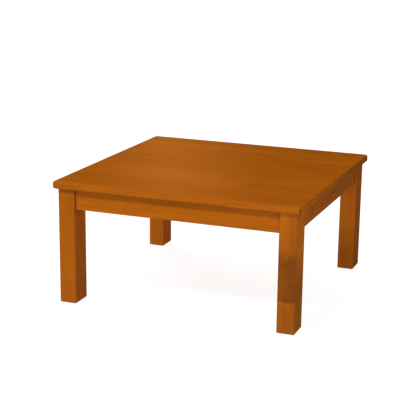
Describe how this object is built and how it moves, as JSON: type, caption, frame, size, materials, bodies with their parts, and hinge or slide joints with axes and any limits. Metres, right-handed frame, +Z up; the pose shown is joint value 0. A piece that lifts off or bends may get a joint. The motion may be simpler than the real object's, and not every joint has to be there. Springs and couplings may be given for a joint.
{
  "type": "square coffee table",
  "caption": "Low square coffee table with a thick round-edged wooden top on straight corner legs deeper than wide, joined by a set-back apron frame and bolted corner blocks.",
  "frame": {"origin": "on the floor under the middle of the top", "axes": "+Z up, +X along the front edge to the right as seen from the front, front edge faces -Y"},
  "size_m": [0.76, 0.76, 0.375],
  "materials": {
    "stained_top": "honey-brown stain under satin lacquer, edge-glued staves",
    "stained_leg": "honey-brown stain under satin lacquer, upright grain with finger-jointed lengths",
    "stained_apron": "honey-brown stain under satin lacquer, grain along the board",
    "raw_hardwood": "planed, bare pale hardwood",
    "zinc_steel": "bright zinc plating",
    "glide_plastic": "dark brown moulded nylon"
  },
  "bodies": {
    "root": {"tabletop": "stained_top", "leg_front_left": "stained_leg", "leg_front_right": "stained_leg", "leg_back_left": "stained_leg", "leg_back_right": "stained_leg", "apron_front": "stained_apron", "apron_back": "stained_apron", "apron_left": "stained_apron", "apron_right": "stained_apron", "corner_block_front_left": "raw_hardwood", "corner_block_front_right": "raw_hardwood", "corner_block_back_left": "raw_hardwood", "corner_block_back_right": "raw_hardwood", "hanger_bolts": "zinc_steel", "flat_washers": "zinc_steel", "spring_washers": "zinc_steel", "hex_nuts": "zinc_steel", "corner_block_screws": "zinc_steel", "tabletop_screws": "zinc_steel", "glide_nails": "zinc_steel", "foot_glide_front_left": "glide_plastic", "foot_glide_front_right": "glide_plastic", "foot_glide_back_left": "glide_plastic", "foot_glide_back_right": "glide_plastic"}
  },
  "joints": []
}
